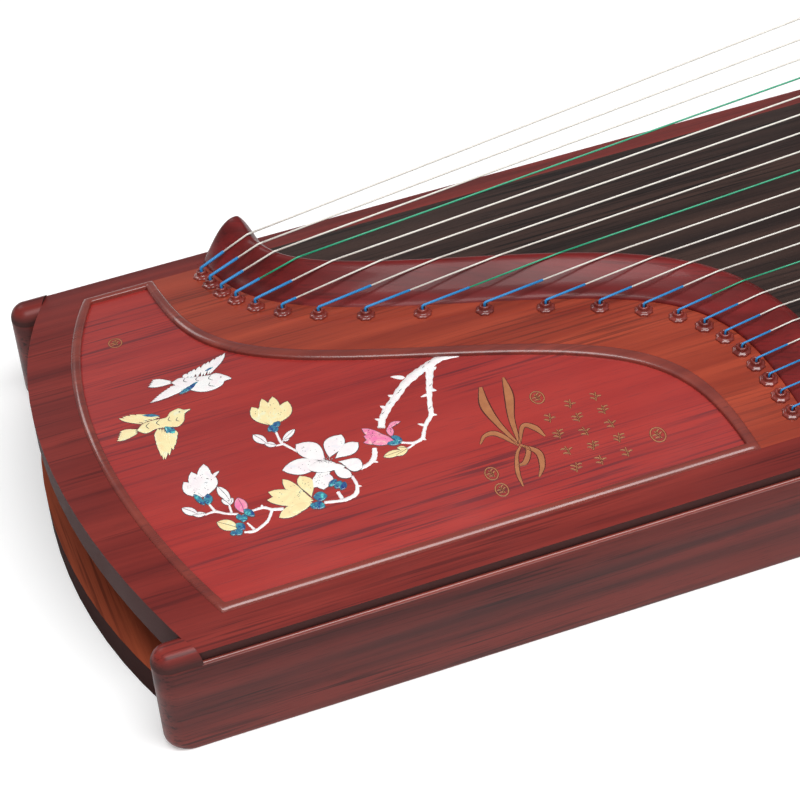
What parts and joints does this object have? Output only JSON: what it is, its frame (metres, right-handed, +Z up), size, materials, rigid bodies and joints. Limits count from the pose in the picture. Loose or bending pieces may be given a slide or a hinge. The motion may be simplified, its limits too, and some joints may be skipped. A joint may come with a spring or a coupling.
{
  "type": "guzheng",
  "caption": "Long arched zither with strings over movable bridges, a curved tail nut, an inlaid tail panel and a lidded tuning box.",
  "frame": {"origin": "middle of the underside", "axes": "+X along the strings towards the head, -Y towards the player, +Z up"},
  "size_m": [1.6298, 0.35, 0.1564],
  "materials": {
    "dark_rosewood": "satin lacquer over dark brown-red wood",
    "sill_wood": "satin lacquer",
    "plain_wood": "bare wood",
    "soundboard_wood": "dark stained, fine straight grain, satin",
    "frame_wood": "gloss lacquer over red-brown wood",
    "panel_wood": "satin lacquer over red wood with dark grain",
    "shell_inlay": "polished mother-of-pearl",
    "light_rosewood": "gloss lacquer over orange-brown wood",
    "turned_rosewood": "high gloss",
    "nut_wood": "gloss lacquer",
    "steel_pin": "polished",
    "string_nylon": "wound nylon over steel",
    "bridge_wood": "satin rosewood with a bone cap"
  },
  "bodies": {
    "body": {"side_board_near": "dark_rosewood", "side_board_far": "dark_rosewood", "end_boards": "sill_wood", "bottom_board": "plain_wood", "arch_ribs": "plain_wood", "soundboard": "soundboard_wood", "tail_frame": "frame_wood", "tail_panel": "panel_wood", "tail_inlay": "shell_inlay", "string_board": "light_rosewood", "string_bushings": "turned_rosewood", "tail_nut": "nut_wood", "head_frame": "frame_wood", "head_nut": "nut_wood", "pin_block": "plain_wood", "lid_pins": "steel_pin", "strings": "string_nylon"},
    "lid": {"box_lid": "panel_wood"},
    "bridge_01": {"bridge_01": "bridge_wood"},
    "tuning_pin_01": {"tuning_pin_01": "steel_pin"},
    "bridge_02": {"bridge_02": "bridge_wood"},
    "tuning_pin_02": {"tuning_pin_02": "steel_pin"},
    "bridge_03": {"bridge_03": "bridge_wood"},
    "tuning_pin_03": {"tuning_pin_03": "steel_pin"},
    "bridge_04": {"bridge_04": "bridge_wood"},
    "tuning_pin_04": {"tuning_pin_04": "steel_pin"},
    "bridge_05": {"bridge_05": "bridge_wood"},
    "tuning_pin_05": {"tuning_pin_05": "steel_pin"},
    "bridge_06": {"bridge_06": "bridge_wood"},
    "tuning_pin_06": {"tuning_pin_06": "steel_pin"},
    "bridge_07": {"bridge_07": "bridge_wood"},
    "tuning_pin_07": {"tuning_pin_07": "steel_pin"},
    "bridge_08": {"bridge_08": "bridge_wood"},
    "tuning_pin_08": {"tuning_pin_08": "steel_pin"},
    "bridge_09": {"bridge_09": "bridge_wood"},
    "tuning_pin_09": {"tuning_pin_09": "steel_pin"},
    "bridge_10": {"bridge_10": "bridge_wood"},
    "tuning_pin_10": {"tuning_pin_10": "steel_pin"},
    "bridge_11": {"bridge_11": "bridge_wood"},
    "tuning_pin_11": {"tuning_pin_11": "steel_pin"},
    "bridge_12": {"bridge_12": "bridge_wood"},
    "tuning_pin_12": {"tuning_pin_12": "steel_pin"},
    "bridge_13": {"bridge_13": "bridge_wood"},
    "tuning_pin_13": {"tuning_pin_13": "steel_pin"},
    "bridge_14": {"bridge_14": "bridge_wood"},
    "tuning_pin_14": {"tuning_pin_14": "steel_pin"},
    "bridge_15": {"bridge_15": "bridge_wood"},
    "tuning_pin_15": {"tuning_pin_15": "steel_pin"},
    "bridge_16": {"bridge_16": "bridge_wood"},
    "tuning_pin_16": {"tuning_pin_16": "steel_pin"},
    "bridge_17": {"bridge_17": "bridge_wood"},
    "tuning_pin_17": {"tuning_pin_17": "steel_pin"},
    "bridge_18": {"bridge_18": "bridge_wood"},
    "tuning_pin_18": {"tuning_pin_18": "steel_pin"},
    "bridge_19": {"bridge_19": "bridge_wood"},
    "tuning_pin_19": {"tuning_pin_19": "steel_pin"},
    "bridge_20": {"bridge_20": "bridge_wood"},
    "tuning_pin_20": {"tuning_pin_20": "steel_pin"},
    "bridge_21": {"bridge_21": "bridge_wood"},
    "tuning_pin_21": {"tuning_pin_21": "steel_pin"}
  },
  "joints": [
    {"name": "lid_hinge", "type": "hinge", "parent": "body", "child": "lid", "pos_m": [0.693, 0.145, 0.07157], "axis": [-1, 0, 0], "range_deg": [0, 100]},
    {"name": "bridge_01_slide", "type": "slide", "parent": "body", "child": "bridge_01", "axis": [1, 0, 0], "range_m": [-0.01, 0.01], "deforming": ["strings"]},
    {"name": "tuning_pin_01_turn", "type": "hinge", "parent": "body", "child": "tuning_pin_01", "pos_m": [0.683, -0.1347, 0.04], "axis": [0, 0, 1], "continuous": true},
    {"name": "bridge_02_slide", "type": "slide", "parent": "body", "child": "bridge_02", "axis": [1, 0, 0], "range_m": [-0.01, 0.01], "deforming": ["strings"]},
    {"name": "tuning_pin_02_turn", "type": "hinge", "parent": "body", "child": "tuning_pin_02", "pos_m": [0.718, -0.121, 0.04], "axis": [0, 0, 1], "continuous": true},
    {"name": "bridge_03_slide", "type": "slide", "parent": "body", "child": "bridge_03", "axis": [1, 0, 0], "range_m": [-0.01, 0.01], "deforming": ["strings"]},
    {"name": "tuning_pin_03_turn", "type": "hinge", "parent": "body", "child": "tuning_pin_03", "pos_m": [0.648, -0.1073, 0.04], "axis": [0, 0, 1], "continuous": true},
    {"name": "bridge_04_slide", "type": "slide", "parent": "body", "child": "bridge_04", "axis": [1, 0, 0], "range_m": [-0.01, 0.01], "deforming": ["strings"]},
    {"name": "tuning_pin_04_turn", "type": "hinge", "parent": "body", "child": "tuning_pin_04", "pos_m": [0.683, -0.0936, 0.04], "axis": [0, 0, 1], "continuous": true},
    {"name": "bridge_05_slide", "type": "slide", "parent": "body", "child": "bridge_05", "axis": [1, 0, 0], "range_m": [-0.01, 0.01], "deforming": ["strings"]},
    {"name": "tuning_pin_05_turn", "type": "hinge", "parent": "body", "child": "tuning_pin_05", "pos_m": [0.718, -0.0799, 0.04], "axis": [0, 0, 1], "continuous": true},
    {"name": "bridge_06_slide", "type": "slide", "parent": "body", "child": "bridge_06", "axis": [1, 0, 0], "range_m": [-0.01, 0.01], "deforming": ["strings"]},
    {"name": "tuning_pin_06_turn", "type": "hinge", "parent": "body", "child": "tuning_pin_06", "pos_m": [0.648, -0.0662, 0.04], "axis": [0, 0, 1], "continuous": true},
    {"name": "bridge_07_slide", "type": "slide", "parent": "body", "child": "bridge_07", "axis": [1, 0, 0], "range_m": [-0.01, 0.01], "deforming": ["strings"]},
    {"name": "tuning_pin_07_turn", "type": "hinge", "parent": "body", "child": "tuning_pin_07", "pos_m": [0.683, -0.0525, 0.04], "axis": [0, 0, 1], "continuous": true},
    {"name": "bridge_08_slide", "type": "slide", "parent": "body", "child": "bridge_08", "axis": [1, 0, 0], "range_m": [-0.01, 0.01], "deforming": ["strings"]},
    {"name": "tuning_pin_08_turn", "type": "hinge", "parent": "body", "child": "tuning_pin_08", "pos_m": [0.718, -0.0388, 0.04], "axis": [0, 0, 1], "continuous": true},
    {"name": "bridge_09_slide", "type": "slide", "parent": "body", "child": "bridge_09", "axis": [1, 0, 0], "range_m": [-0.01, 0.01], "deforming": ["strings"]},
    {"name": "tuning_pin_09_turn", "type": "hinge", "parent": "body", "child": "tuning_pin_09", "pos_m": [0.648, -0.0251, 0.04], "axis": [0, 0, 1], "continuous": true},
    {"name": "bridge_10_slide", "type": "slide", "parent": "body", "child": "bridge_10", "axis": [1, 0, 0], "range_m": [-0.01, 0.01], "deforming": ["strings"]},
    {"name": "tuning_pin_10_turn", "type": "hinge", "parent": "body", "child": "tuning_pin_10", "pos_m": [0.683, -0.0114, 0.04], "axis": [0, 0, 1], "continuous": true},
    {"name": "bridge_11_slide", "type": "slide", "parent": "body", "child": "bridge_11", "axis": [1, 0, 0], "range_m": [-0.01, 0.01], "deforming": ["strings"]},
    {"name": "tuning_pin_11_turn", "type": "hinge", "parent": "body", "child": "tuning_pin_11", "pos_m": [0.718, 0.0023, 0.04], "axis": [0, 0, 1], "continuous": true},
    {"name": "bridge_12_slide", "type": "slide", "parent": "body", "child": "bridge_12", "axis": [1, 0, 0], "range_m": [-0.01, 0.01], "deforming": ["strings"]},
    {"name": "tuning_pin_12_turn", "type": "hinge", "parent": "body", "child": "tuning_pin_12", "pos_m": [0.648, 0.016, 0.04], "axis": [0, 0, 1], "continuous": true},
    {"name": "bridge_13_slide", "type": "slide", "parent": "body", "child": "bridge_13", "axis": [1, 0, 0], "range_m": [-0.01, 0.01], "deforming": ["strings"]},
    {"name": "tuning_pin_13_turn", "type": "hinge", "parent": "body", "child": "tuning_pin_13", "pos_m": [0.683, 0.0297, 0.04], "axis": [0, 0, 1], "continuous": true},
    {"name": "bridge_14_slide", "type": "slide", "parent": "body", "child": "bridge_14", "axis": [1, 0, 0], "range_m": [-0.01, 0.01], "deforming": ["strings"]},
    {"name": "tuning_pin_14_turn", "type": "hinge", "parent": "body", "child": "tuning_pin_14", "pos_m": [0.718, 0.0434, 0.04], "axis": [0, 0, 1], "continuous": true},
    {"name": "bridge_15_slide", "type": "slide", "parent": "body", "child": "bridge_15", "axis": [1, 0, 0], "range_m": [-0.01, 0.01], "deforming": ["strings"]},
    {"name": "tuning_pin_15_turn", "type": "hinge", "parent": "body", "child": "tuning_pin_15", "pos_m": [0.648, 0.0571, 0.04], "axis": [0, 0, 1], "continuous": true},
    {"name": "bridge_16_slide", "type": "slide", "parent": "body", "child": "bridge_16", "axis": [1, 0, 0], "range_m": [-0.01, 0.01], "deforming": ["strings"]},
    {"name": "tuning_pin_16_turn", "type": "hinge", "parent": "body", "child": "tuning_pin_16", "pos_m": [0.683, 0.0708, 0.04], "axis": [0, 0, 1], "continuous": true},
    {"name": "bridge_17_slide", "type": "slide", "parent": "body", "child": "bridge_17", "axis": [1, 0, 0], "range_m": [-0.01, 0.01], "deforming": ["strings"]},
    {"name": "tuning_pin_17_turn", "type": "hinge", "parent": "body", "child": "tuning_pin_17", "pos_m": [0.718, 0.0845, 0.04], "axis": [0, 0, 1], "continuous": true},
    {"name": "bridge_18_slide", "type": "slide", "parent": "body", "child": "bridge_18", "axis": [1, 0, 0], "range_m": [-0.01, 0.01], "deforming": ["strings"]},
    {"name": "tuning_pin_18_turn", "type": "hinge", "parent": "body", "child": "tuning_pin_18", "pos_m": [0.648, 0.0982, 0.04], "axis": [0, 0, 1], "continuous": true},
    {"name": "bridge_19_slide", "type": "slide", "parent": "body", "child": "bridge_19", "axis": [1, 0, 0], "range_m": [-0.01, 0.01], "deforming": ["strings"]},
    {"name": "tuning_pin_19_turn", "type": "hinge", "parent": "body", "child": "tuning_pin_19", "pos_m": [0.683, 0.1119, 0.04], "axis": [0, 0, 1], "continuous": true},
    {"name": "bridge_20_slide", "type": "slide", "parent": "body", "child": "bridge_20", "axis": [1, 0, 0], "range_m": [-0.01, 0.01], "deforming": ["strings"]},
    {"name": "tuning_pin_20_turn", "type": "hinge", "parent": "body", "child": "tuning_pin_20", "pos_m": [0.718, 0.1256, 0.04], "axis": [0, 0, 1], "continuous": true},
    {"name": "bridge_21_slide", "type": "slide", "parent": "body", "child": "bridge_21", "axis": [1, 0, 0], "range_m": [-0.01, 0.01], "deforming": ["strings"]},
    {"name": "tuning_pin_21_turn", "type": "hinge", "parent": "body", "child": "tuning_pin_21", "pos_m": [0.648, 0.1393, 0.04], "axis": [0, 0, 1], "continuous": true}
  ]
}
